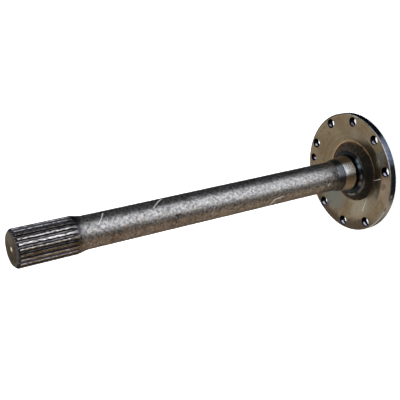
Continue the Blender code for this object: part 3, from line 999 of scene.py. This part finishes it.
floor_mesh = bpy.data.meshes.new("floor")
half = FLOOR_SIZE / 2
corners = [(-half, -half, 0), (half, -half, 0), (half, half, 0), (-half, half, 0)]
floor_mesh.from_pydata(corners, [], [(0, 1, 2, 3)])
floor = put("floor", floor_mesh)
floor_paper = bpy.data.materials.new("floor_paper")
floor_paper.use_nodes = True
tree = floor_paper.node_tree
tree.nodes.clear()
white = node(tree, "BsdfDiffuse", {"Color": FLOOR_WHITE}).outputs[0]
strength = times(tree, seen_rays(tree), FLOOR_GLOW)
glow = node(tree, "Emission", {"Strength": strength}).outputs[0]
both = node(tree, "AddShader", {0: white, 1: glow}).outputs[0]
node(tree, "OutputMaterial", {"Surface": both})
floor_mesh.materials.append(floor_paper)


# Light
# A plain soft studio: an even white world that is dimmer on dull things than in reflections, and
# one broad lamp behind the shaft that lifts the dull brown of the boss and the end face.
WORLD_STRENGTH = 0.4
WORLD_WHITE = (1, 1, 1, 1)
LAMP_AIM = Vector((0, 0, 0.32))
LAMP_AZIMUTH = 145
LAMP_RISE = math.radians(35)
LAMP_DISTANCE = 2.2
LAMP_SIZE = 1.0
LAMP_POWER = 65

world = bpy.data.worlds.new("studio")
bpy.context.scene.world = world
world.use_nodes = True
tree = world.node_tree
tree.nodes.clear()
strength = spread(tree, seen_rays(tree), 0, 1, WORLD_STRENGTH, 1.0)
back = node(tree, "Background", {"Color": WORLD_WHITE, "Strength": strength}).outputs[0]
node(tree, "OutputWorld", {"Surface": back})

lamp_data = bpy.data.lights.new("key_lamp", "AREA")
lamp_data.shape = "RECTANGLE"
lamp_data.size = LAMP_SIZE
lamp_data.size_y = LAMP_SIZE
lamp_data.energy = LAMP_POWER
lamp = put("key_lamp", lamp_data)
away = polar(LAMP_DISTANCE * math.cos(LAMP_RISE), LAMP_AZIMUTH, LAMP_DISTANCE * math.sin(LAMP_RISE))
lamp.location = LAMP_AIM + away
lamp.rotation_euler = away.to_track_quat("Z", "Y").to_euler()
lamp.visible_camera = False
lamp.visible_glossy = False


# Surround
# Paper that isn't part of the shaft and shows only in reflections: a low bowl round it, a screen
# on the bowl's edge, an apron at the flange's foot and a white disc under it. Bright at one side,
# brown at another and black elsewhere, it draws the steel's long highlight and its dark sides.
PAPER_Z = 0.0005
BOWL_INNER_R = 0.145
BOWL_R = 2.5
BOWL_HEIGHT = 0.15
SCREEN_HEIGHT = 1.9
SCREEN_START = -75
SCREEN_END = 105
APRON_INNER_R = 0.104
UNDER_INNER_R = 0.060
PAPER_STEPS = 72
PAPER_GLOW = 3.0
PAPER_BLACK = (0.03, 0.03, 0.03)
PAPER_BROWN = (0.28, 0.205, 0.14)
PAPER_DIM = (0.08, 0.07, 0.055)
PAPER_WHITE = (1.0, 1.0, 1.0)
PAPER_GREY = (0.24, 0.21, 0.15)
PAPER_FROST = (0.78, 0.72, 0.60)
BOWL_SIDES = ((-165, PAPER_BLACK), (-130, PAPER_BROWN), (-60, PAPER_BROWN), (-40, PAPER_DIM),
              (-14, PAPER_DIM), (4, PAPER_WHITE), (54, PAPER_WHITE), (70, PAPER_BLACK))
SCREEN_SIDES = ((-60, PAPER_BROWN), (-36, PAPER_BROWN), (-20, PAPER_BLACK), (-6, PAPER_BLACK),
                (6, PAPER_WHITE), (30, PAPER_WHITE), (46, PAPER_BLACK), (90, PAPER_DIM))
APRON_SIDES = ((-140, PAPER_DIM), (-100, PAPER_GREY), (-70, PAPER_GREY), (-57, PAPER_FROST),
               (-42, PAPER_FROST), (-29, PAPER_DIM), (3, PAPER_DIM), (14, PAPER_WHITE),
               (32, PAPER_WHITE), (41, PAPER_BLACK), (90, PAPER_BLACK))
UNDER_SIDES = ((-180, PAPER_WHITE), (180, PAPER_WHITE))


def paper(name, line, sides, first=-180, last=180):
    """Lay paper round the shaft along a line of radii and levels, with a colour for each side."""
    corners = []
    for step in range(PAPER_STEPS + 1):
        azimuth = first + (last - first) * step / PAPER_STEPS
        corners += [polar(radius, azimuth, level) for radius, level in line]
    faces = []
    for step in range(PAPER_STEPS):
        here, there = len(line) * step, len(line) * (step + 1)
        faces += [(here + i, here + i + 1, there + i + 1, there + i) for i in range(len(line) - 1)]
    sheet_mesh = bpy.data.meshes.new(name)
    sheet_mesh.from_pydata(corners, [], faces)
    sheet = put(name, sheet_mesh)
    material = bpy.data.materials.new(name + "_paper")
    material.use_nodes = True
    tree = material.node_tree
    tree.nodes.clear()
    axes = node(tree, "SeparateXYZ", {"Vector": place(tree)}).outputs
    azimuth = sums(tree, "ARCTAN2", axes["Y"], axes["X"])
    share = node(tree, "MapRange", {"Value": azimuth, "From Min": -math.pi, "From Max": math.pi})
    ramp = node(tree, "ValToRGB", {"Fac": share.outputs["Result"]})
    stops = ramp.color_ramp.elements
    for stop, (side, colour) in enumerate(sides):
        element = stops[stop] if stop < 2 else stops.new((side + 180) / 360)
        element.position = (side + 180) / 360
        element.color = (*colour, 1)
    glow = node(tree, "Emission", {"Color": ramp.outputs["Color"], "Strength": PAPER_GLOW})
    node(tree, "OutputMaterial", {"Surface": glow.outputs[0]})
    sheet_mesh.materials.append(material)
    sheet.visible_camera = False
    sheet.visible_diffuse = False
    sheet.visible_transmission = False
    sheet.visible_shadow = False


paper("surround", [(BOWL_INNER_R, PAPER_Z), (BOWL_R, PAPER_Z), (BOWL_R, BOWL_HEIGHT)], BOWL_SIDES)
paper("screen", [(BOWL_R, BOWL_HEIGHT), (BOWL_R, SCREEN_HEIGHT)], SCREEN_SIDES,
      SCREEN_START, SCREEN_END)
paper("apron", [(APRON_INNER_R, PAPER_Z), (BOWL_INNER_R, PAPER_Z)], APRON_SIDES)
paper("under_flange", [(UNDER_INNER_R, PAPER_Z), (APRON_INNER_R, PAPER_Z)], UNDER_SIDES)


# Camera
# It looks down on the standing shaft and is rolled on its side, so that the shaft lies across
# the picture as in the photograph.
CAMERA_PLACE = Vector((1.0780, 0.1668, 0.9673))
CAMERA_AIM = Vector((-0.00136, 0.00933, 0.33310))
CAMERA_ROLL = math.radians(-102.673)
CAMERA_LENS = 71.68
CAMERA_SENSOR = 36

camera_data = bpy.data.cameras.new("camera")
camera_data.sensor_width = CAMERA_SENSOR
camera_data.lens = CAMERA_LENS
camera_data.clip_start = 0.01
camera = put("camera", camera_data)
camera.location = CAMERA_PLACE
camera.rotation_mode = "QUATERNION"
upright = (CAMERA_AIM - CAMERA_PLACE).to_track_quat("-Z", "Y")
camera.rotation_quaternion = upright @ Quaternion((0, 0, 1), CAMERA_ROLL)
bpy.context.scene.camera = camera
bpy.context.scene.view_settings.view_transform = "Standard"
